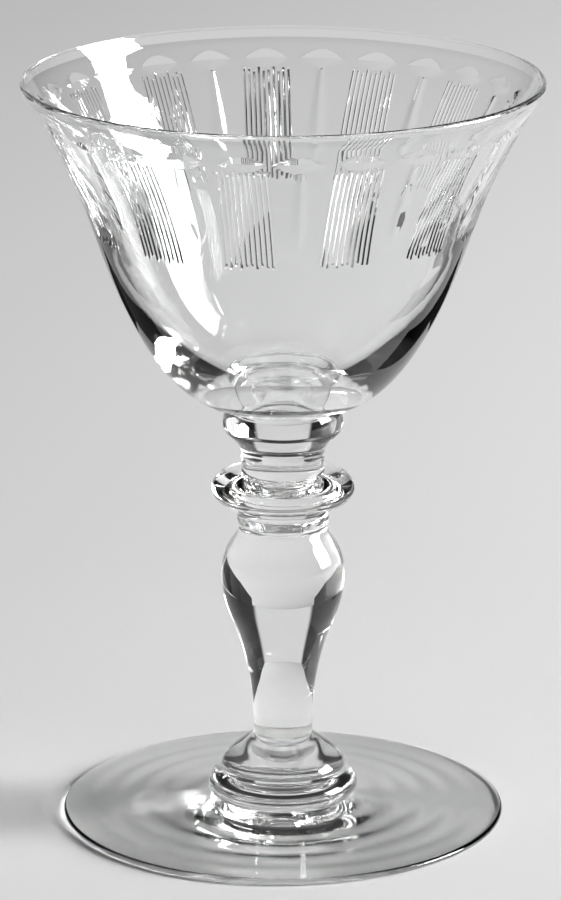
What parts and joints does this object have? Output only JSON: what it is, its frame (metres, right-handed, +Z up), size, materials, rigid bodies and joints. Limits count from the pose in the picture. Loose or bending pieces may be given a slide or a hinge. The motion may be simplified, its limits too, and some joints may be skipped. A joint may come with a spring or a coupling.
{
  "type": "cocktail glass",
  "caption": "Stemmed cocktail glass with a bell bowl cut with line groups and olives, a ring-knopped baluster stem and a wide flat foot.",
  "frame": {"origin": "centre of the flat ring that the foot rests on", "axes": "+Z up along the axis of the stem and bowl, +X to the right and -Y towards the viewer of the picture"},
  "size_m": [0.0816, 0.0816, 0.12],
  "materials": {
    "clear_glass": "clear, fire polished, cut bright"
  },
  "bodies": {
    "root": {"foot": "clear_glass", "base_knop": "clear_glass", "baluster_stem": "clear_glass", "stem_wafer": "clear_glass", "ring_knop": "clear_glass", "bowl_merese": "clear_glass", "bowl": "clear_glass"}
  },
  "joints": []
}
